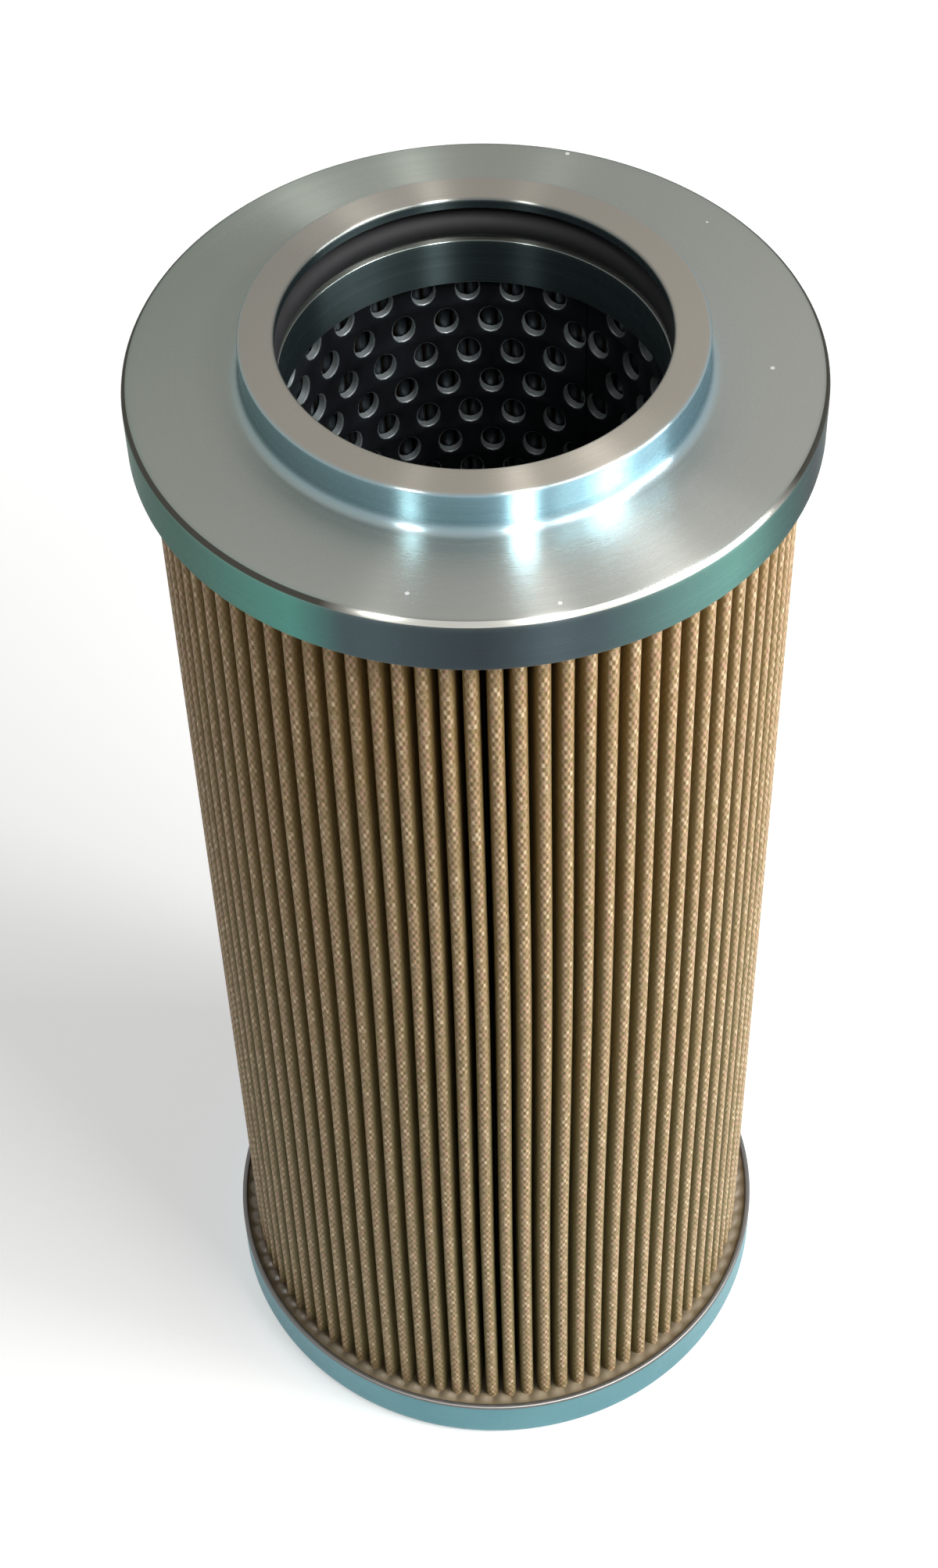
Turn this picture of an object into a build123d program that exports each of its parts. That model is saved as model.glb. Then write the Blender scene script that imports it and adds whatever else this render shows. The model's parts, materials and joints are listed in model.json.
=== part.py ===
"""A pleated filter element for a hydraulic line.

Two metal end caps hold a ring of folded wire-mesh media round a perforated support tube, bedded in
adhesive. Oil leaves through the bore of the upper cap, whose O-ring seals on the housing's spigot.
The element stands on the lower cap, with its axis on +Z and the origin at the middle of its foot.
"""

import os
from math import asin, atan2, cos, hypot, pi, sin

from build123d import *

# ---- driving dimensions, in millimetres ----

# The element as a whole
body_height = 214.0  # from the foot to the top of the flange
cap_diameter = 95.0  # both caps

# Upper cap, turned from one blank
flange_thickness = 3.0
skirt_depth = 8.0  # from the top of the flange to the skirt's lip
skirt_wall = 1.5
collar_wall = 1.2  # outside the ring groove
collar_height = 6.5  # above the flange
bore_diameter = 53.0
spigot_wall = 1.5  # the sleeve below the bore, which the support tube slips over
spigot_depth = 8.6  # from the top of the flange to the sleeve's end
rim_round = 1.0
collar_foot_round = 1.5
edge_break = 0.4  # on the collar's two top edges

# O-ring and its groove in the bore
ring_section = 4.0
ring_stand = 0.2  # how far the ring stands proud of the bore
groove_lip = 1.7  # from the top of the collar to the groove
groove_width = 5.7

# Perforated support tube
tube_fit = 0.05  # radial clearance on the spigot
tube_wall = 1.2
hole_width = 3.4
hole_height = 4.6
hole_columns = 8  # round the tube, in each row
hole_rows = 8  # neighbouring rows are staggered by half a column
end_margin = 12.0  # from either end of the tube to the middle of the nearest row

# Pleat pack, one strip folded into a ring
pleat_count = 88
tip_gap = 1.3  # radial room between the outer folds and the narrower cap's wall
media_thickness = 0.8
fold_radius = 1.0  # outside of each outer fold
pack_fit = 0.15  # radial clearance between the support tube and the inner folds

# Lower cap, a pan pressed from sheet
pan_height = 9.5
pan_wall = 1.0
pan_corner = 1.5  # outside radius where the wall meets the floor

# Adhesive beds
bed_recess = 1.0  # from each cap's lip to the face that the pleats stand on
bead_rise = 0.8  # how far the adhesive climbs the cap's wall outside the pleats

# ---- radii and heights that follow from them ----

cap_radius = cap_diameter / 2
skirt_inner = cap_radius - skirt_wall
bore_radius = bore_diameter / 2
spigot_radius = bore_radius + spigot_wall
flange_under = body_height - flange_thickness
skirt_lip = body_height - skirt_depth
collar_top = body_height + collar_height

groove_top = collar_top - groove_lip
groove_bottom = groove_top - groove_width
groove_radius = bore_radius - ring_stand + ring_section
ring_radius = groove_radius - ring_section / 2
collar_radius = groove_radius + collar_wall

tube_inner = spigot_radius + tube_fit
tube_outer = tube_inner + tube_wall
cut_start = tube_inner - tube_wall  # each hole is cut outwards, from inside the tube's wall
cut_depth = 3 * tube_wall  # to as far outside it
pan_inner = cap_radius - pan_wall
pan_floor = pan_wall
row_pitch = (flange_under - pan_floor - 2 * end_margin) / (hole_rows - 1)

lower_bed_top = pan_height - bed_recess
upper_bed_foot = skirt_lip + bed_recess
tip_radius = min(skirt_inner, pan_inner) - tip_gap
root_radius = tube_outer + pack_fit


# ---- upper end cap ----

with BuildPart() as upper_end_cap:
    with BuildSketch(Plane.XZ):
        with BuildLine():
            Polyline(
                (cap_radius, skirt_lip),
                (cap_radius, body_height),
                (collar_radius, body_height),
                (collar_radius, collar_top),
                (bore_radius, collar_top),
                (bore_radius, groove_top),
                (groove_radius, groove_top),
                (groove_radius, groove_bottom),
                (bore_radius, groove_bottom),
                (bore_radius, body_height - spigot_depth),
                (spigot_radius, body_height - spigot_depth),
                (spigot_radius, flange_under),
                (skirt_inner, flange_under),
                (skirt_inner, skirt_lip),
                close=True,
            )
        make_face()
    revolve(axis=Axis.Z)
    flange_edges = edges().filter_by_position(Axis.Z, body_height, body_height).sort_by(SortBy.RADIUS)
    fillet(flange_edges[-1], radius=rim_round)
    fillet(flange_edges[0], radius=collar_foot_round)
    chamfer(edges().filter_by_position(Axis.Z, collar_top, collar_top), length=edge_break)

# ---- O-ring, lying on the lower side of its groove ----

with BuildPart() as o_ring:
    with BuildSketch(Plane.XZ):
        with Locations((ring_radius, groove_bottom + ring_section / 2)):
            Circle(ring_section / 2)
    revolve(axis=Axis.Z)

# ---- support tube, standing on the pan's floor and reaching the flange ----

with BuildPart() as support_tube:
    with BuildSketch(Plane.XY.offset(pan_floor)):
        Circle(tube_outer)
        Circle(tube_inner, mode=Mode.SUBTRACT)
    extrude(amount=flange_under - pan_floor)
    hole_planes = []
    for row in range(hole_rows):
        axis_point = Vector(0, 0, pan_floor + end_margin + row * row_pitch)
        for column in range(hole_columns):
            turn = (column + row % 2 / 2) * 2 * pi / hole_columns
            outward = Vector(cos(turn), sin(turn), 0)
            start = axis_point + outward * cut_start
            hole_planes.append(Plane(start, x_dir=Axis.Z.direction, z_dir=outward))
    with BuildSketch(*hole_planes):
        SlotOverall(hole_height, hole_width)
    extrude(amount=cut_depth, mode=Mode.SUBTRACT)

# ---- pleat pack, folded from one strip ----

half_step = pi / pleat_count
root_fold = ((root_radius + media_thickness) * sin(half_step) + media_thickness) / 2
tip_centre = tip_radius - fold_radius
root_centre = root_radius + root_fold


def polar(radius, turn):
    """The vector of this length at this angle."""
    return Vector(radius * cos(turn), radius * sin(turn))


def folded_face(tip_bend, root_bend, round_tips):
    """The face inside a line that zigzags round the ring over folds of these radii.

    Each wall is the crossing tangent of the fold circles at its two ends. It leans from the pleat's own
    radius by the angle of the line between their centres, less the angle whose sine is the sum of the
    radii over their distance. An outer fold is round outside the media and pressed flat inside it, and
    an inner fold is pressed against the tube in three flats.
    """
    across = root_centre * sin(half_step)
    along = tip_centre - root_centre * cos(half_step)
    lean = atan2(across, along) - asin((tip_bend + root_bend) / hypot(across, along))
    touch = pi / 2 - lean
    flat_edge = touch / 3  # where the middle of an inner fold's three equal flats ends
    with BuildSketch() as face:
        with BuildLine():
            for pleat in range(pleat_count):
                turn = (2 * pleat + 1) * half_step  # so a gap faces +X, and -Y too
                root_turn = turn + half_step
                next_turn = root_turn + half_step
                tip = polar(tip_centre, turn)
                root = polar(root_centre, root_turn)
                fold_start = tip + polar(tip_bend, turn - touch)
                fold_end = tip + polar(tip_bend, turn + touch)
                if round_tips:
                    ThreePointArc(fold_start, tip + polar(tip_bend, turn), fold_end)
                else:
                    Line(fold_start, fold_end)
                Polyline(
                    fold_end,
                    root - polar(root_bend, turn + touch),
                    root - polar(root_bend, root_turn + flat_edge),
                    root - polar(root_bend, root_turn - flat_edge),
                    root - polar(root_bend, next_turn - touch),
                    polar(tip_centre, next_turn) + polar(tip_bend, next_turn - touch),
                )
        make_face()
    return face.sketch


outside = folded_face(fold_radius, root_fold - media_thickness, round_tips=True)
inside = folded_face(fold_radius - media_thickness, root_fold, round_tips=False)

with BuildPart() as pleat_pack:
    with BuildSketch(Plane.XY.offset(lower_bed_top)):
        add(outside)
        add(inside, mode=Mode.SUBTRACT)
    extrude(amount=upper_bed_foot - lower_bed_top)

# ---- lower end cap ----

with BuildPart() as lower_end_cap:
    with BuildSketch(Plane.XY):
        Circle(cap_radius)
    extrude(amount=pan_height)
    with BuildSketch(Plane.XY.offset(pan_floor)):
        Circle(pan_inner)
    extrude(amount=pan_height - pan_floor, mode=Mode.SUBTRACT)
    fillet(edges().filter_by_position(Axis.Z, 0, 0), radius=pan_corner)

# ---- adhesive beds, each a ring round the tube with a bead that climbs the cap's wall ----

with BuildPart() as lower_bed:
    with BuildSketch(Plane.XZ):
        with BuildLine():
            Polyline(
                (tube_outer, pan_floor),
                (pan_inner, pan_floor),
                (pan_inner, lower_bed_top + bead_rise),
                (tip_radius + pack_fit, lower_bed_top),
                (tube_outer, lower_bed_top),
                close=True,
            )
        make_face()
    revolve(axis=Axis.Z)

with BuildPart() as upper_bed:
    with BuildSketch(Plane.XZ):
        with BuildLine():
            Polyline(
                (tube_outer, flange_under),
                (skirt_inner, flange_under),
                (skirt_inner, upper_bed_foot - bead_rise),
                (tip_radius + pack_fit, upper_bed_foot),
                (tube_outer, upper_bed_foot),
                close=True,
            )
        make_face()
    revolve(axis=Axis.Z)

# ---- one file for each piece ----

os.makedirs("parts", exist_ok=True)
pieces = {
    "upper_end_cap": upper_end_cap,
    "o_ring": o_ring,
    "support_tube": support_tube,
    "pleat_pack": pleat_pack,
    "lower_end_cap": lower_end_cap,
    "lower_bed": lower_bed,
    "upper_bed": upper_bed,
}
for name, piece in pieces.items():
    piece.part.label = name
    export_step(piece.part, f"parts/{name}.step")
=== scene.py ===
import json

import bmesh
import bpy
import numpy as np
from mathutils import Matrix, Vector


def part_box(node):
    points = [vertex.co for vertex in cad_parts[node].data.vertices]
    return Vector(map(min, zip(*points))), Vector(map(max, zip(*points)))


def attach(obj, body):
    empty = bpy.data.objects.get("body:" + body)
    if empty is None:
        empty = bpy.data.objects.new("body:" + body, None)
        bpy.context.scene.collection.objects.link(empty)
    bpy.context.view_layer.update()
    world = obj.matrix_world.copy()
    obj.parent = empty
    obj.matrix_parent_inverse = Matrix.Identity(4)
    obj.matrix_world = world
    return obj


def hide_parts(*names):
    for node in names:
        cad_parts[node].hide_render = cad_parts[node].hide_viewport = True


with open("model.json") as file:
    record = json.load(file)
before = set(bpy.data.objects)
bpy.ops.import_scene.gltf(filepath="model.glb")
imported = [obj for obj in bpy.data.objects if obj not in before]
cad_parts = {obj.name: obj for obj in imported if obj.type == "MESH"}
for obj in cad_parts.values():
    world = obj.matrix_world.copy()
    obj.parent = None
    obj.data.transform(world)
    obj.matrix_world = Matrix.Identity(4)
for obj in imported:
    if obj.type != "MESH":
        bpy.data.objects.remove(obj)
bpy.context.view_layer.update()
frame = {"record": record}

# ---- support tube ----
# Steel sheet, pierced with staggered oval holes while flat, then rolled and butted along one seam. It is
# painted near black for the shade inside the ring of pleats, and the punch has drawn the edge of each hole
# in a little and left it bright.

mm = 0.001
tube_low, tube_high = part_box("support_tube")
tube_outer = tube_high.x
tube_wall = 1.2 * mm
tube_inner = tube_outer - tube_wall
hole_width = 3.4 * mm
hole_height = 4.6 * mm
hole_lip = 0.2 * mm
lip_depth = 0.15 * mm
row_step = 5.93 * mm
row_count = 34
top_row = tube_high.z - 7.8 * mm
seam_turn = np.radians(54.9)
seam_gap = np.radians(0.2)
first_column = np.radians(4.1)
column_count = 28
column_step = (2 * np.pi - 2 * first_column) / (column_count - 1)


def closed_mesh(name, points, faces, corner_uv=None, marks=None, crease=30.0):
    """An object with these points and four-cornered faces, all turned outwards, with creases kept crisp.

    Points that share a place become one, which closes seams and poles. Marks are named numbers, one for
    each point, for a material to read.
    """
    mesh = bpy.data.meshes.new(name)
    mesh.from_pydata(points.reshape(-1, 3).tolist(), [], faces.reshape(-1, 4).tolist())
    if corner_uv is not None:
        mesh.uv_layers.new(name="cloth").data.foreach_set("uv", corner_uv.astype(np.float32).ravel())
    for mark, values in (marks or {}).items():
        numbers = values.astype(np.float32).ravel()
        mesh.attributes.new(mark, "FLOAT", "POINT").data.foreach_set("value", numbers)
    work = bmesh.new()
    work.from_mesh(mesh)
    bmesh.ops.remove_doubles(work, verts=work.verts, dist=1e-7)
    bmesh.ops.recalc_face_normals(work, faces=work.faces)
    work.to_mesh(mesh)
    work.free()
    mesh.shade_smooth()
    mesh.set_sharp_from_angle(angle=np.radians(crease))
    piece = bpy.data.objects.new(name, mesh)
    bpy.context.collection.objects.link(piece)
    return piece


def pierced_sheet():
    """The rolled sheet, as one cell for each hole.

    A cell's rim runs round a rectangle and its hole round an oval, both as the same 16 steps, and the
    strips between them pass from the outer rim to the hole, through the wall and back to the inner rim.
    Every second row has one hole more, and its end cells run on to the seam. Turns start at the seam.
    """
    per_side = 4
    side = np.linspace(-1, 1, per_side + 1)[:-1]
    ones = np.ones(per_side)
    rim_u = np.concatenate([side, ones, -side, -ones])
    rim_v = np.concatenate([-ones, side, ones, -side])
    turn = np.arctan2(rim_v, rim_u)
    oval_u, oval_v = np.cos(turn), np.sin(turn)

    centre, left, right, middle, low, high = [], [], [], [], [], []
    for row in range(row_count):
        long_row = row % 2
        columns = first_column + column_step * (np.arange(column_count - 1 + long_row) + (1 - long_row) / 2)
        edges = np.append(columns - column_step / 2, columns[-1] + column_step / 2)
        if long_row:
            edges[[0, -1]] = seam_gap, 2 * np.pi - seam_gap
        height = top_row - row * row_step
        centre.append(columns)
        left.append(edges[:-1])
        right.append(edges[1:])
        middle.append(np.full(len(columns), height))
        low.append(np.full(len(columns), tube_low.z if row == row_count - 1 else height - row_step / 2))
        high.append(np.full(len(columns), tube_high.z if row == 0 else height + row_step / 2))
    centre, left, right, middle, low, high = [
        np.concatenate(rows)[:, None] for rows in (centre, left, right, middle, low, high)
    ]

    rim_turn = centre + np.where(rim_u > 0, rim_u * (right - centre), rim_u * (centre - left))
    rim_height = middle + np.where(rim_v > 0, rim_v * (high - middle), rim_v * (middle - low))

    def hole(grow):
        """The turn and height of each step round each hole: an oval whose half axes are this much longer."""
        turns = centre + oval_u * (hole_width / 2 + grow) / tube_inner
        return turns, middle + oval_v * (hole_height / 2 + grow)

    loops = [
        (tube_outer, rim_turn, rim_height),
        (tube_outer, *hole(0)),
        (tube_inner + lip_depth, *hole(0)),
        (tube_inner, *hole(hole_lip)),
        (tube_inner, rim_turn, rim_height),
    ]
    points = np.stack(
        [
            np.stack([r * np.cos(seam_turn - t), r * np.sin(seam_turn - t), z], axis=-1)
            for r, t, z in loops
        ],
        axis=1,
    )
    cells, rings, steps = points.shape[:3]
    number = np.arange(cells * rings * steps).reshape(cells, rings, steps)
    onward = np.roll(number, -1, axis=2)
    strips = np.stack([number[:, :-1], onward[:, :-1], onward[:, 1:], number[:, 1:]], axis=-1)

    # the sheet's own edges, in the order of the rim: the foot, one side of the seam, the top, the other side
    on_edge = [low == tube_low.z, right == 2 * np.pi - seam_gap, high == tube_high.z, left == seam_gap]
    closing = []
    for side_number, there in enumerate(on_edge):
        part = slice(side_number * per_side, (side_number + 1) * per_side)
        here, ahead = number[there[:, 0], :, part], onward[there[:, 0], :, part]
        strip = np.stack([here[:, 0], ahead[:, 0], ahead[:, -1], here[:, -1]], axis=-1)
        closing.append(strip.reshape(-1, 4))
    punched = np.zeros((cells, rings, steps))
    punched[:, 1:3] = 1.0
    return points.reshape(-1, 3), np.concatenate([strips.reshape(-1, 4)] + closing), punched.ravel()


def plain_ends():
    """The plain sheet beside the seam, in each row that has one hole less.

    On both sides of the seam a path of three points goes along the outer face to the sheet's cut edge, comes
    back as three along the inner face, and is carried up the row.
    """
    rows = np.arange(0, row_count, 2)
    middle = top_row - rows * row_step
    low, high = middle - row_step / 2, np.where(rows == 0, tube_high.z, middle + row_step / 2)
    levels = np.stack([low, (low + middle) / 2, middle, (middle + high) / 2, high], axis=1)[:, :, None]
    path = np.linspace(first_column, seam_gap, 3)
    path = np.concatenate([path, path[::-1]])
    turns = seam_turn - np.stack([path, 2 * np.pi - path])[:, None, None]
    reach = np.repeat([tube_outer, tube_inner], 3)
    points = np.stack(np.broadcast_arrays(reach * np.cos(turns), reach * np.sin(turns), levels), axis=-1)
    number = np.arange(points[..., 0].size).reshape(points.shape[:4])
    lower, upper = number[:, :, :-1], number[:, :, 1:]
    walls = np.stack([lower[..., :-1], lower[..., 1:], upper[..., 1:], upper[..., :-1]], axis=-1)
    top = number[:, 0, -1]
    ends = np.stack([top[:, [0, 1]], top[:, [1, 2]], top[:, [4, 3]], top[:, [5, 4]]], axis=-1)
    return points.reshape(-1, 3), np.concatenate([walls.reshape(-1, 4), ends.reshape(-1, 4)])


sheet_points, sheet_faces, punched = pierced_sheet()
end_points, end_faces = plain_ends()
tube = closed_mesh(
    "pierced_tube",
    np.concatenate([sheet_points, end_points]),
    np.concatenate([sheet_faces, end_faces + len(sheet_points)]),
    marks={"punched": np.append(punched, np.zeros(len(end_points)))},
    crease=40,
)


def linear(code):
    """A colour written as an sRGB hex value, turned to the linear numbers that shaders take."""
    srgb = np.array([int(code[i : i + 2], 16) for i in (1, 3, 5)]) / 255
    return (*np.where(srgb <= 0.04045, srgb / 12.92, ((srgb + 0.055) / 1.055) ** 2.4), 1.0)


def material(name, piece):
    """A new material on this piece, with its shader and its tree of nodes."""
    new = bpy.data.materials.new(name)
    new.use_nodes = True
    piece.data.materials.append(new)
    return new.node_tree, new.node_tree.nodes["Principled BSDF"]


def node(tree, kind, settings=None, **links):
    """A node of this kind, with its settings.

    Each link names an input, by its name or as i and its number, and what feeds it: a socket or a value.
    Where two inputs share a name, the number tells them apart.
    """
    new = tree.nodes.new("ShaderNode" + kind)
    for key, value in (settings or {}).items():
        setattr(new, key, value)
    for key, value in links.items():
        socket = new.inputs[int(key[1:]) if key[1:].isdigit() else key.replace("_", " ")]
        if isinstance(value, bpy.types.NodeSocket):
            tree.links.new(value, socket)
        else:
            socket.default_value = value
    return new


# steel, painted near black for the shade inside the ring of pleats, softly glossy, in smears about 7 mm
# across, with bare metal where the punch has sheared it
colours = {"data_type": "RGBA"}  # the setting with which a Mix node mixes colours
tree, steel = material("pierced steel sheet, painted shade black", tube)
place = node(tree, "TexCoord").outputs["Object"]
smear = node(tree, "TexNoise", Vector=place, Scale=0.14 / mm, Detail=4.0).outputs["Fac"]
mark = node(tree, "Attribute", {"attribute_name": "punched"}).outputs["Fac"]
# painted shade: the sheet is near black for the shade inside the ring of pleats, in smears
painted_shade_smears = node(tree, "Mix", colours, i0=smear, i6=linear("#1c1f23"), i7=linear("#2c3136")).outputs[2]
bare = node(tree, "Mix", colours, i0=mark, i6=painted_shade_smears, i7=linear("#b2baba")).outputs[2]
tree.links.new(bare, steel.inputs["Base Color"])
rough = node(tree, "MapRange", Value=smear, To_Min=0.3, To_Max=0.55).outputs[0]
tree.links.new(rough, steel.inputs["Roughness"])
steel.inputs["Metallic"].default_value = 0.7

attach(tube, "root")
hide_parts("support_tube")

# ---- lower end cap ----
# A shallow pan pressed from thin steel sheet, zinc plated with a blue passivation. The element stands on it,
# and the tube and the pleats are set in it with adhesive.

pan_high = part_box("lower_end_cap")[1]
pan_radius = pan_high.x
pan_wall = 1.0 * mm
pan_rim = 0.5 * mm
around = 264


def rounded(corners, steps=5):
    """A closed outline of radius and height, with each corner replaced by an arc of its own radius.

    The arc touches both sides at the corner's radius over the tangent of half its angle, and its points
    turn evenly round its centre. A tenth of the way along each side stands one more point, which keeps the
    flat that follows flat to the eye. Wall is 1 along upright sides and 0 along level ones.
    """
    rows = np.array(corners, float)
    corner, radius = rows[:, :2], rows[:, 2:]
    back = np.roll(corner, 1, axis=0) - corner
    ahead = np.roll(corner, -1, axis=0) - corner
    back_length = np.linalg.norm(back, axis=1, keepdims=True)
    ahead_length = np.linalg.norm(ahead, axis=1, keepdims=True)
    back, ahead = back / back_length, ahead / ahead_length
    half = np.arccos(np.clip((back * ahead).sum(axis=1, keepdims=True), -1, 1)) / 2
    middle = back + ahead
    middle = middle / np.linalg.norm(middle, axis=1, keepdims=True)
    centre = corner + middle * radius / np.sin(half)
    reach = radius / np.tan(half)
    start = corner + back * reach - centre
    end = corner + ahead * reach - centre
    before = corner + back * (reach + (back_length - reach) / 10)
    after = corner + ahead * (reach + (ahead_length - reach) / 10)
    begin = np.arctan2(start[:, 1], start[:, 0])
    sweep = np.arctan2(end[:, 1], end[:, 0]) - begin
    sweep = (sweep + np.pi) % (2 * np.pi) - np.pi
    turn = begin[:, None] + sweep[:, None] * np.linspace(0, 1, steps)
    arc = centre[:, None] + radius[:, :, None] * np.stack([np.cos(turn), np.sin(turn)], axis=-1)
    outline = np.concatenate([before[:, None], arc, after[:, None]], axis=1).reshape(-1, 2)
    run = np.abs(np.roll(outline, -1, axis=0) - np.roll(outline, 1, axis=0))
    return outline, run[:, 1] / run.sum(axis=1)


def closed_grid(rows, columns):
    """The corner numbers of each face of a grid whose rows and columns both join up with their own ends."""
    number = np.arange(rows * columns).reshape(rows, columns)
    right = np.roll(number, -1, axis=1)
    return np.stack([number, right, np.roll(right, -1, axis=0), np.roll(number, -1, axis=0)], axis=-1)


def turned(name, corners, steps=5):
    """A turned piece: the rounded outline carried round the axis."""
    outline, wall = rounded(corners, steps)
    turn = np.linspace(0, 2 * np.pi, around, endpoint=False)[:, None]
    r, z = outline[:, 0], outline[:, 1]
    points = np.stack([r * np.cos(turn), r * np.sin(turn), z + 0 * turn], axis=-1)
    marks = {"wall": np.broadcast_to(wall, (around, len(wall)))}
    return closed_mesh(name, points, closed_grid(around, len(r)), marks=marks)


pan_corners = [
    (0, 0, 0),
    (pan_radius, 0, 1.5 * mm),
    (pan_radius, pan_high.z, 0.35 * mm),
    (pan_radius - pan_wall, pan_high.z, 0.35 * mm),
    (pan_radius - pan_wall, pan_wall, 0.5 * mm),
    (0, pan_wall, 0),
]
pan = turned("pressed_pan", pan_corners)

# zinc plate, blue passivated, on pressed sheet: satin and blue green, clouded over some 45 mm and dulled in
# grains of about 1 mm by handling, with a grey rim where the sheet was cut
tree, zinc = material("blue passivated zinc on pressed sheet", pan)
place = node(tree, "TexCoord").outputs["Object"]
cloud = node(tree, "TexNoise", Vector=place, Scale=0.022 / mm, Detail=3.0).outputs["Fac"]
tint = node(tree, "ValToRGB", Fac=cloud)
for stop, where, code in zip(tint.color_ramp.elements, (0.35, 0.65), ("#54868f", "#66969e")):
    stop.position = where
    stop.color = linear(code)
grain = node(tree, "TexNoise", Vector=place, Scale=0.9 / mm, Detail=2.0).outputs["Fac"]
dull = node(tree, "MapRange", Value=grain, To_Min=0.35, To_Max=0.5).outputs[0]
up = node(tree, "SeparateXYZ", Vector=place).outputs["Z"]
rim = node(tree, "Math", {"operation": "GREATER_THAN"}, i0=up, i1=pan_high.z - pan_rim).outputs[0]
tint = node(tree, "Mix", colours, i0=rim, i6=tint.outputs[0], i7=linear("#6c6a68")).outputs[2]
tree.links.new(tint, zinc.inputs["Base Color"])
tree.links.new(dull, zinc.inputs["Roughness"])
zinc.inputs["Metallic"].default_value = 0.8

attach(pan, "root")
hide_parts("lower_end_cap")

# ---- pleat pack ----
# Fine bronze-coloured wire cloth over filter medium, folded to and fro into 88 pleats and closed into a
# ring. The folds lean on the tube inside and stand free outside, bowed a little by the folding machine.

pack_low, pack_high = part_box("pleat_pack")
pleat_count = 88
half_step = np.pi / pleat_count
media = 0.8 * mm
tip_radius = 44.7 * mm
root_radius = tube_outer + 0.15 * mm
tip_bend = 1.08 * mm
root_bend = ((root_radius + media) * np.sin(half_step) + media) / 2
bow = np.radians(0.35)
waves_up = 0.9
drift_waves = ((1, 1.7, 0.0), (2, 0.9, 1.0), (5, 0.4, 2.0))
outside_levels, inside_levels = 26, 14
tip_steps, wall_steps, root_steps = 4, 4, 3


def fold_line(outer_bend, inner_bend):
    """Radius, turn and length run of one pleat, from the middle of a gap to the middle of the next.

    Round the outer fold and round each half of the inner folds the line is an arc, and the wall between
    them is their crossing tangent.
    """
    tip = tip_radius - tip_bend
    root = root_radius + root_bend
    across, along = root * np.sin(half_step), tip - root * np.cos(half_step)
    lean = np.arctan2(across, along) - np.arcsin((outer_bend + inner_bend) / np.hypot(across, along))
    touch = np.pi / 2 - lean
    arc = np.linspace(0, touch, tip_steps)
    tip_part = np.stack([tip + outer_bend * np.cos(arc), outer_bend * np.sin(arc)], axis=-1)
    centre = root * np.array([np.cos(half_step), np.sin(half_step)])
    arc = np.linspace(touch, half_step, root_steps)
    root_part = centre - inner_bend * np.stack([np.cos(arc), np.sin(arc)], axis=-1)
    blend = np.linspace(0, 1, wall_steps + 2)[1:-1, None]
    wall_part = tip_part[-1] * (1 - blend) + root_part[0] * blend
    half = np.concatenate([tip_part, wall_part, root_part])
    line = np.concatenate([half[:0:-1] * [1, -1], half])[1:]
    radius, turn = np.hypot(line[:, 0], line[:, 1]), np.arctan2(line[:, 1], line[:, 0])
    step = np.linalg.norm(np.diff(line, axis=0, append=line[:1]), axis=1)
    step[-1] = 0
    return radius, turn, np.concatenate([[0], np.cumsum(step)[:-1]])


def folded(outer_bend, inner_bend, levels):
    """The fold line repeated round the ring and carried up the pack, swaying as it goes.

    The sway is a sine of the height, faded to nothing at both ends by half a sine. Its phase is a sum of
    sines of the turn, which drifts from pleat to pleat, so neighbours lean together. A point moves by its
    share of the way from the roots to the tips.
    """
    radius, turn, run = fold_line(outer_bend, inner_bend)
    pleat = np.arange(pleat_count)[:, None]
    turns = (turn + (2 * pleat + 1) * half_step).ravel()
    radii = np.tile(radius, pleat_count)
    runs = (run + pleat * run[-1]).ravel()
    up = np.linspace(0, 1, levels)[:, None]
    height = pack_low.z + up * (pack_high.z - pack_low.z)
    drift = sum(size * np.sin(count * turns + start) for count, size, start in drift_waves)
    sway = bow * np.sin(np.pi * up) * np.sin(2 * np.pi * waves_up * up + drift)
    moved = turns + sway * (radii - root_radius) / (tip_radius - root_radius)
    points = np.stack([radii * np.cos(moved), radii * np.sin(moved), height + 0 * moved], axis=-1)
    return points, runs, height.ravel()


outside, outside_run, outside_height = folded(tip_bend, root_bend - media, outside_levels)
inside, inside_run, inside_height = folded(tip_bend - media, root_bend, inside_levels)
pack_points = np.concatenate([outside, inside[::-1]])
levels, per_ring = pack_points.shape[:2]
pack_faces = closed_grid(levels, per_ring)

# the cloth's own flat sheet, in mm: the run along the strip and the height. The faces that close the ring
# would span the whole strip, so they run on past its end instead
run_grid = np.concatenate([np.tile(outside_run, (len(outside), 1)), np.tile(inside_run, (len(inside), 1))])
height_grid = np.concatenate([outside_height, inside_height[::-1]])[:, None] + 0 * run_grid
flat = np.stack([run_grid, height_grid], axis=-1).reshape(-1, 2) / mm
pack_uv = flat[pack_faces]
strip_length = outside_run[-1] / mm
widest_face = 100
along = pack_uv[..., 0]
wraps = np.ptp(along, axis=-1, keepdims=True) > widest_face
pack_uv[..., 0] = np.where(wraps & (along < widest_face), along + strip_length, along)
depth = (np.hypot(pack_points[..., 0], pack_points[..., 1]) - root_radius) / (tip_radius - root_radius)
pack = closed_mesh("folded_mesh", pack_points, pack_faces, pack_uv, {"crown": depth}, crease=60)

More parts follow.
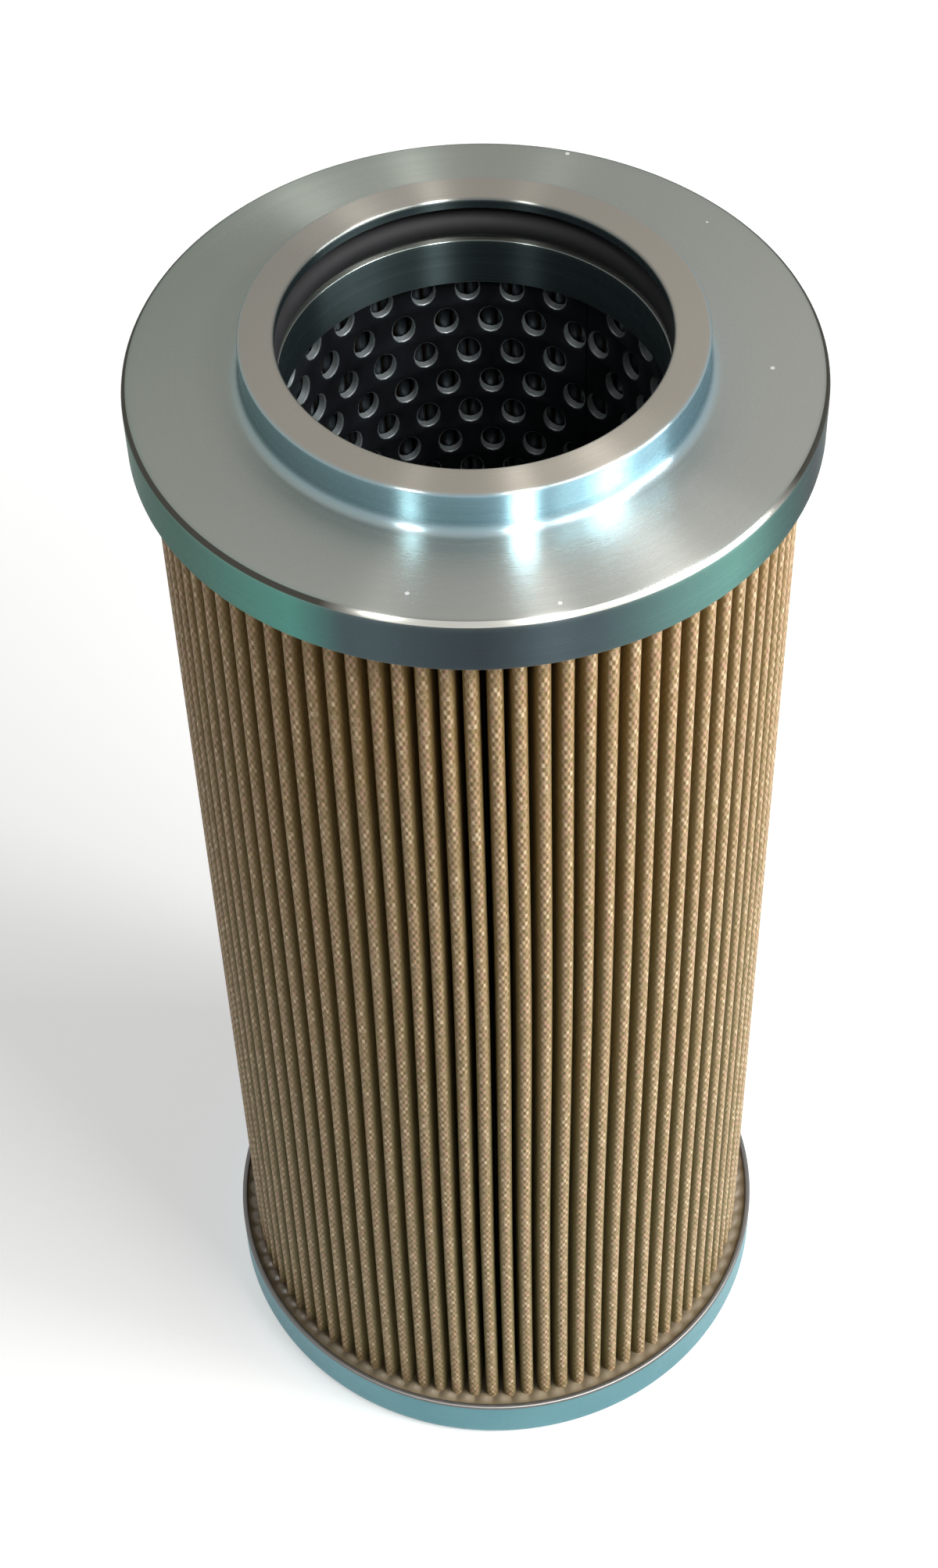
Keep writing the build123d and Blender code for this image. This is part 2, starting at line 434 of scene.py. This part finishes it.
# lacquered wire cloth: long knuckles in staggered rows show on the folds' crowns, worn bright there and each
# in its own pale tint, which is a painted glint. The ground between them runs from brown at the top to khaki
# at the foot, in patches about 17 mm across, and the gaps are painted in shade, brown and then dark grey at
# the roots. The flat sheet is in mm, so a knuckle is too
knuckle_width, knuckle_height = 0.45, 0.9
tree, bronze = material("lacquered wire cloth, plain woven", pack)
cloth = node(tree, "UVMap", {"uv_map": "cloth"}).outputs["UV"]
per_knuckle = (1 / knuckle_width, 1 / knuckle_height, 0)
thread = node(tree, "VectorMath", {"operation": "MULTIPLY"}, i0=cloth, i1=per_knuckle).outputs[0]
waves = node(tree, "VectorMath", {"operation": "SCALE"}, i0=thread, Scale=np.pi).outputs[0]
waves = node(tree, "VectorMath", {"operation": "SINE"}, i0=waves).outputs[0]
parts = node(tree, "SeparateXYZ", Vector=waves)
knuckle = node(tree, "Math", {"operation": "MULTIPLY"}, i0=parts.outputs[0], i1=parts.outputs[1]).outputs[0]
lift = node(tree, "MapRange", Value=knuckle, From_Min=-1.4, From_Max=0.8).outputs[0]
cell = node(tree, "VectorMath", {"operation": "FLOOR"}, i0=thread).outputs[0]
chance = node(tree, "TexWhiteNoise", Vector=cell).outputs["Value"]
# each knuckle's own pale tint: painted glints
knuckle_glint_tints = node(tree, "ValToRGB", Fac=chance)
knuckle_glint_tints.color_ramp.elements[0].color = linear("#b09a6e")
knuckle_glint_tints.color_ramp.elements[1].color = linear("#e6c094")
for where, code in ((0.35, "#d0b28a"), (0.7, "#d8ac92"), (0.85, "#f6deb8")):
    knuckle_glint_tints.color_ramp.elements.new(where).color = linear(code)
place = node(tree, "TexCoord").outputs["Object"]
patch = node(tree, "TexNoise", Vector=place, Scale=0.06 / mm, Detail=3.0).outputs["Fac"]
up = node(tree, "SeparateXYZ", Vector=place).outputs["Z"]
aged = node(tree, "MapRange", Value=up, From_Min=60 * mm, From_Max=210 * mm).outputs[0]
streaky = node(tree, "Math", {"operation": "MULTIPLY_ADD"}, i0=patch, i1=0.8, i2=-0.4).outputs[0]
blend = node(tree, "Math", {"operation": "ADD", "use_clamp": True}, i0=aged, i1=streaky).outputs[0]
ground = node(tree, "Mix", colours, i0=blend, i6=linear("#776e48"), i7=linear("#7f6636")).outputs[2]
crown = node(tree, "Attribute", {"attribute_name": "crown"}).outputs["Fac"]
# the knuckles show only at the crowns: worn bright there, with a painted highlight
wear_and_painted_glint = node(tree, "MapRange", Value=crown, From_Min=0.968, From_Max=0.996, To_Min=0.12).outputs[0]
bright = node(tree, "Math", {"operation": "MULTIPLY"}, i0=lift, i1=wear_and_painted_glint).outputs[0]
woven = node(tree, "Mix", colours, i0=bright, i6=ground, i7=knuckle_glint_tints.outputs[0]).outputs[2]
# painted shade: the cloth darkens into the gaps, to brown and then to dark grey at the roots
out_of_gap_shade = node(tree, "MapRange", Value=crown, From_Min=0.1, From_Max=0.65).outputs[0]
gap = node(tree, "ValToRGB", Fac=crown)
for stop, where, code in zip(gap.color_ramp.elements, (0.02, 0.1), ("#20262a", "#4a3a1e")):
    stop.position = where
    stop.color = linear(code)
cloth_with_painted_gap_shade = node(tree, "Mix", colours, i0=out_of_gap_shade, i6=gap.outputs[0], i7=woven).outputs[2]
tree.links.new(cloth_with_painted_gap_shade, bronze.inputs["Base Color"])
bump = node(tree, "Bump", Height=lift, Strength=wear_and_painted_glint, Distance=0.1 * mm).outputs[0]
tree.links.new(bump, bronze.inputs["Normal"])
bronze.inputs["Roughness"].default_value = 0.45
bronze.inputs["Specular IOR Level"].default_value = 0.12

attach(pack, "root")
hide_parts("pleat_pack")

# ---- adhesive beds ----
# Tan adhesive, cast into each cap while the pleats stood in it. It has swelled up in the gap between each
# two folds and crept up the cap's wall, and it is creased where each fold comes down.

mound_height = 0.65 * mm
mound_radius = tip_radius + 0.1 * mm
mound_spread = 1.2 * mm
mound_fullness = 0.7
seen_depth = 3 * mm
bead = 0.5 * mm
steps_per_pleat, reach_steps = 12, 13
skirt_inner, _, upper_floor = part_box("upper_bed")[1]


def bed(name, cap_inner, floor, face, sign):
    """A ring of adhesive: its section carried round the axis, with a mound in the mouth of each gap.

    Outside the folds the face rises to the cap's wall, by the bead times the cube of the way out. A mound
    is a raised cosine of the turn, to the power of its fullness, times a bell curve of the radius. It is
    highest between two folds and nothing at each fold. The sign is 1 for a face that looks up and -1 for
    one that looks down.
    """
    turn = np.linspace(0, 2 * np.pi, pleat_count * steps_per_pleat, endpoint=False)[:, None]
    reach = np.concatenate([[tube_outer], np.linspace(tip_radius - seen_depth, cap_inner, reach_steps)])
    out = np.clip((reach - tip_radius) / (cap_inner - tip_radius), 0, 1)
    between = (1 + np.cos(pleat_count * turn)) / 2
    bell = np.exp(-(((reach - mound_radius) / mound_spread) ** 2))
    mound = mound_height * between**mound_fullness * bell
    top = face + sign * (bead * out**3 + mound)
    r = np.concatenate([reach, [cap_inner, tube_outer]])
    z = np.concatenate([top, np.full((len(turn), 2), floor)], axis=1)
    points = np.stack([r * np.cos(turn), r * np.sin(turn), z], axis=-1)
    return closed_mesh(name, points, closed_grid(len(turn), len(r)), crease=50)


lower_bed = bed("lower_adhesive", pan_radius - pan_wall, pan_wall, pack_low.z, 1)
upper_bed = bed("upper_adhesive", skirt_inner, upper_floor, pack_high.z, -1)

# cast epoxy: tan, in clouds about 8 mm across, and glossy where it set against air
for ring, cad_node in ((lower_bed, "lower_bed"), (upper_bed, "upper_bed")):
    tree, amber = material("cast tan adhesive", ring)
    place = node(tree, "TexCoord").outputs["Object"]
    cloud = node(tree, "TexNoise", Vector=place, Scale=0.12 / mm, Detail=3.0).outputs["Fac"]
    shade = node(tree, "Mix", colours, i0=cloud, i6=linear("#82745e"), i7=linear("#948870")).outputs[2]
    tree.links.new(shade, amber.inputs["Base Color"])
    amber.inputs["Roughness"].default_value = 0.32
    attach(ring, "root")
    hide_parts(cad_node)

# ---- upper end cap ----
# One turned blank: a flange with a skirt that holds the pleats, a raised collar, and a bore with a ring
# groove and a sleeve that the tube slips over. Zinc plated, with the lathe's rings showing through.

cap_low, cap_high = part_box("upper_end_cap")
cap_radius = cap_high.x
collar_top = cap_high.z
flange_top = collar_top - 6.5 * mm
flange_under = flange_top - 3.0 * mm
bore = next(m for m in frame["record"]["mounts"] if m["name"] == "seal_bore")["dims"]["r_mm"] * mm
collar_radius = 31.5 * mm
groove_radius = 30.3 * mm
groove_top = collar_top - 1.7 * mm
groove_bottom = groove_top - 5.7 * mm
sleeve_end = flange_top - 8.6 * mm
sleeve_radius = bore + 1.5 * mm
edge_width, edge_depth = 0.6 * mm, 0.7 * mm
rim_depth = 1.0 * mm
skirt_depth = 5.0 * mm

cap_corners = [
    (cap_radius, cap_low.z, 0.3 * mm),
    (cap_radius, flange_top, 1.0 * mm),
    (collar_radius, flange_top, 1.5 * mm),
    (collar_radius, collar_top, 0.45 * mm),
    (bore, collar_top, 0.45 * mm),
    (bore, groove_top, 0.15 * mm),
    (groove_radius, groove_top, 0.3 * mm),
    (groove_radius, groove_bottom, 0.3 * mm),
    (bore, groove_bottom, 0.15 * mm),
    (bore, sleeve_end, 0.3 * mm),
    (sleeve_radius, sleeve_end, 0.3 * mm),
    (sleeve_radius, flange_under, 0.3 * mm),
    (skirt_inner, flange_under, 0.5 * mm),
    (skirt_inner, cap_low.z, 0.3 * mm),
]
cap = turned("turned_cap", cap_corners, steps=6)

# zinc plate on turned steel: warm grey on the faces, pale blue on the collar, the bore painted near black as
# shade, and on the skirt a passivation tint from sea green to slate with painted reflections over it. The
# faces are clouded over some 55 mm and hold a few specks of dust, and faces and collar are painted paler
# towards the front right, where the lamps stand. The flange's edge is painted dark as shade but for a
# painted highlight, a bright stretch in front. The tool's rings draw each reflection out across themselves.
# They are drawn about
# 0.6 mm apart, coarser than a lathe leaves them, because finer ones don't show
tree, plate = material("zinc plate on turned steel", cap)
place = node(tree, "TexCoord").outputs["Object"]
wall = node(tree, "Attribute", {"attribute_name": "wall"}).outputs["Fac"]
up = node(tree, "SeparateXYZ", Vector=place).outputs["Z"]
cloud = node(tree, "TexNoise", Vector=place, Scale=0.018 / mm, Detail=3.0).outputs["Fac"]
# painted light: faces and collar are paler towards the front right, where the lamps stand
painted_light_side = (0.4 / cap_radius, -0.28 / cap_radius, 0)
across = node(tree, "VectorMath", {"operation": "DOT_PRODUCT"}, i0=place, i1=painted_light_side).outputs["Value"]
clouding_and_painted_light = node(tree, "Math", {"operation": "MULTIPLY_ADD"}, i0=cloud, i1=0.3, i2=0.35).outputs[0]
clouding_and_painted_light = node(tree, "Math", {"operation": "ADD", "use_clamp": True}, i0=clouding_and_painted_light, i1=across).outputs[0]
flange_tint = node(tree, "Mix", colours, i0=clouding_and_painted_light, i6=linear("#80867e"), i7=linear("#a0a09a")).outputs[2]
rim_tint = node(tree, "Mix", colours, i0=clouding_and_painted_light, i6=linear("#84817a"), i7=linear("#a29c90")).outputs[2]
raised = node(tree, "Math", {"operation": "GREATER_THAN"}, i0=up, i1=collar_top - rim_depth).outputs[0]
face_tint = node(tree, "Mix", colours, i0=raised, i6=flange_tint, i7=rim_tint).outputs[2]
dust = node(tree, "TexVoronoi", Vector=place, Scale=0.13 / mm).outputs["Distance"]
speck = node(tree, "Math", {"operation": "LESS_THAN"}, i0=dust, i1=0.04).outputs[0]
face_tint = node(tree, "Mix", colours, i0=speck, i6=face_tint, i7=linear("#dcdcda")).outputs[2]
round_rim = node(tree, "TexGradient", {"gradient_type": "RADIAL"}, Vector=place).outputs["Fac"]
# the skirt's colours round its rim: a passivation tint with painted reflections, slate in front and sea
# green to the sides
skirt_tint_and_reflection = node(tree, "ValToRGB", Fac=round_rim)
skirt_tint_and_reflection.color_ramp.elements[0].color = linear("#48685c")
skirt_tint_and_reflection.color_ramp.elements[1].color = linear("#48685c")
for where, code in (
    (0.11, "#587b71"),
    (0.165, "#558e83"),
    (0.19, "#455357"),
    (0.25, "#343d42"),
    (0.30, "#435054"),
    (0.37, "#5c867e"),
    (0.44, "#344448"),
    (0.60, "#587b71"),
):
    skirt_tint_and_reflection.color_ramp.elements.new(where).color = linear(code)
collar_tint = node(tree, "Mix", colours, i0=clouding_and_painted_light, i6=linear("#829894"), i7=linear("#8cb6ca")).outputs[2]
plan = node(tree, "VectorMath", {"operation": "MULTIPLY"}, i0=place, i1=(1, 1, 0)).outputs[0]
radius = node(tree, "VectorMath", {"operation": "LENGTH"}, i0=plan).outputs["Value"]
within_skirt, within_bore = cap_radius - skirt_depth, groove_radius + 0.3 * mm
wall_tint_and_painted_light = skirt_tint_and_reflection.outputs[0]
# the bore is near black: painted shade
for reach, inner_tint_and_shade in ((within_skirt, collar_tint), (within_bore, linear("#485658"))):
    within = node(tree, "Math", {"operation": "LESS_THAN"}, i0=radius, i1=reach).outputs[0]
    wall_tint_and_painted_light = node(tree, "Mix", colours, i0=within, i6=wall_tint_and_painted_light, i7=inner_tint_and_shade).outputs[2]
tint = node(tree, "Mix", colours, i0=wall, i6=face_tint, i7=wall_tint_and_painted_light).outputs[2]
# the flange's edge: painted shade all round, with a painted highlight as a bright stretch in front
edge_painted_light = node(tree, "ValToRGB", Fac=round_rim)
for stop, where in zip(edge_painted_light.color_ramp.elements, (0.18, 0.42)):
    stop.position = where
    stop.color = linear("#46443e")
for where in (0.21, 0.38):
    edge_painted_light.color_ramp.elements.new(where).color = linear("#c4c4bc")
outer = node(tree, "Math", {"operation": "GREATER_THAN"}, i0=radius, i1=cap_radius - edge_width).outputs[0]
upper = node(tree, "Math", {"operation": "GREATER_THAN"}, i0=up, i1=flange_top - edge_depth).outputs[0]
edge = node(tree, "Math", {"operation": "MULTIPLY"}, i0=outer, i1=upper).outputs[0]
tint = node(tree, "Mix", colours, i0=edge, i6=tint, i7=edge_painted_light.outputs[0]).outputs[2]
tree.links.new(tint, plate.inputs["Base Color"])
rings = node(tree, "CombineXYZ", X=radius, Z=up).outputs[0]
tool = node(tree, "TexNoise", Vector=rings, Scale=1.8 / mm, Detail=2.0).outputs["Fac"]
groove = node(tree, "Bump", Height=tool, Strength=0.02, Distance=0.03 * mm).outputs[0]
tree.links.new(groove, plate.inputs["Normal"])
rough = node(tree, "MapRange", Value=tool, To_Min=0.24, To_Max=0.3).outputs[0]
tree.links.new(rough, plate.inputs["Roughness"])
lathe = node(tree, "Tangent", {"direction_type": "RADIAL", "axis": "Z"}).outputs[0]
tree.links.new(lathe, plate.inputs["Tangent"])
plate.inputs["Anisotropic"].default_value = 1.0
plate.inputs["Anisotropic Rotation"].default_value = 0.25
plate.inputs["Metallic"].default_value = 0.9
plate.inputs["Specular Tint"].default_value = linear("#bcbcbc")

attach(cap, "root")
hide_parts("upper_end_cap")

# ---- O-ring ----
# A ring of nitrile rubber, moulded in one piece and snapped into the groove in the bore. It rests on the
# groove's lower side and stands a little proud of the bore.

ring_low, ring_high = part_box("o_ring")
cord = (ring_high.z - ring_low.z) / 2
ring_radius = ring_high.x - cord
cord_steps = 28
turn = np.linspace(0, 2 * np.pi, around, endpoint=False)[:, None]
section = np.linspace(0, 2 * np.pi, cord_steps, endpoint=False)
ring_points = np.stack(
    [
        (ring_radius + cord * np.cos(section)) * np.cos(turn),
        (ring_radius + cord * np.cos(section)) * np.sin(turn),
        ring_low.z + cord + cord * np.sin(section) + 0 * turn,
    ],
    axis=-1,
)
ring = closed_mesh("seal_ring", ring_points, closed_grid(around, cord_steps), crease=180)

# moulded nitrile rubber: black and slightly oily, with a faint bloom in patches about 3 mm across
tree, rubber = material("black nitrile rubber", ring)
place = node(tree, "TexCoord").outputs["Object"]
bloom = node(tree, "TexNoise", Vector=place, Scale=0.3 / mm, Detail=3.0).outputs["Fac"]
black = node(tree, "Mix", colours, i0=bloom, i6=linear("#0e0e0f"), i7=linear("#1d1d20")).outputs[2]
tree.links.new(black, rubber.inputs["Base Color"])
rubber.inputs["Roughness"].default_value = 0.7
rubber.inputs["Specular IOR Level"].default_value = 0.2

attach(ring, "root")
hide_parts("o_ring")

# ---- floor, light and camera ----
# A plain pale floor that fades into a white room, a broad window and a side light, and three narrow strips
# that only gloss shows, as bright bars on the collar. The floor lies a hair under the foot, so that the two
# aren't in one plane, and is clear from below, so that the foot can be seen.

floor_size = 3.0
floor_drop = 0.05 * mm
bpy.ops.mesh.primitive_plane_add(size=floor_size, location=(0, 0, -floor_drop))
floor = bpy.context.object
floor.name = "floor"
tree, paper = material("white paper", floor)
paper.inputs["Base Color"].default_value = linear("#d8d8d6")
paper.inputs["Roughness"].default_value = 0.9
paper.inputs["Specular IOR Level"].default_value = 0.0
paper.inputs["Emission Color"].default_value = (1, 1, 1, 1)


def seen(tree):
    """1 where the surroundings are seen, straight on or in a gloss, and 0 where they light something."""
    path = node(tree, "LightPath").outputs
    looks = path["Is Camera Ray"]
    for kind in ("Is Glossy Ray", "Is Transmission Ray"):
        looks = node(tree, "Math", {"operation": "MAXIMUM"}, i0=looks, i1=path[kind]).outputs[0]
    return looks


place = node(tree, "TexCoord").outputs["Object"]
distance = node(tree, "VectorMath", {"operation": "LENGTH"}, i0=place).outputs["Value"]
fade = node(tree, "MapRange", Value=distance, From_Min=0.2, From_Max=1.3, To_Min=0.5, To_Max=0.95).outputs[0]
glow = node(tree, "Math", {"operation": "MULTIPLY"}, i0=seen(tree), i1=fade).outputs[0]
tree.links.new(glow, paper.inputs["Emission Strength"])
under = node(tree, "NewGeometry").outputs["Backfacing"]
clear = node(tree, "BsdfTransparent").outputs[0]
sheet = node(tree, "MixShader", Fac=under, i1=paper.outputs[0], i2=clear).outputs[0]
tree.links.new(sheet, tree.nodes["Material Output"].inputs["Surface"])

world = bpy.data.worlds.new("room")
world.use_nodes = True
bpy.context.scene.world = world
room = world.node_tree.nodes["Background"]
room.inputs["Color"].default_value = (1, 1, 1, 1)
level = node(world.node_tree, "MapRange", Value=seen(world.node_tree), To_Min=0.2, To_Max=1.0).outputs[0]
world.node_tree.links.new(level, room.inputs["Strength"])

# each light's name, turn from the front, height in degrees, width, power, and whether matt surfaces catch it
softboxes = (
    ("window", 58, 46, 0.66, 12.0, True),
    ("side", 78, 20, 0.5, 11.0, True),
    ("strip right", 22, 46, 0.15, 22.0, False),
    ("strip far right", 68, 46, 0.26, 13.0, False),
    ("strip left", -34, 46, 0.11, 6.0, False),
)
box_height = 0.35
away = 1.25
for name, round_degrees, up_degrees, width, power, lights_all in softboxes:
    light = bpy.data.lights.new(name, "AREA")
    light.shape = "RECTANGLE"
    light.size = width
    light.size_y = box_height
    light.energy = power
    lamp = bpy.data.objects.new(name, light)
    lamp.visible_diffuse = lights_all
    along, rise = np.radians(round_degrees), np.radians(up_degrees)
    out = away * np.cos(rise)
    lamp.location = (out * np.sin(along), -out * np.cos(along), collar_top + away * np.sin(rise))
    lamp.rotation_euler = (np.pi / 2 - rise, 0, along)
    bpy.context.collection.objects.link(lamp)

camera_data = bpy.data.cameras.new("camera")
camera_data.lens = 67.31
camera_data.sensor_width = 36.0
camera = bpy.data.objects.new("camera", camera_data)
camera.location = (0, -0.29408, 0.48052)
camera.rotation_euler = np.radians([39.653, 1.194, -0.932])
bpy.context.collection.objects.link(camera)
bpy.context.scene.camera = camera
bpy.context.scene.view_settings.view_transform = "Standard"
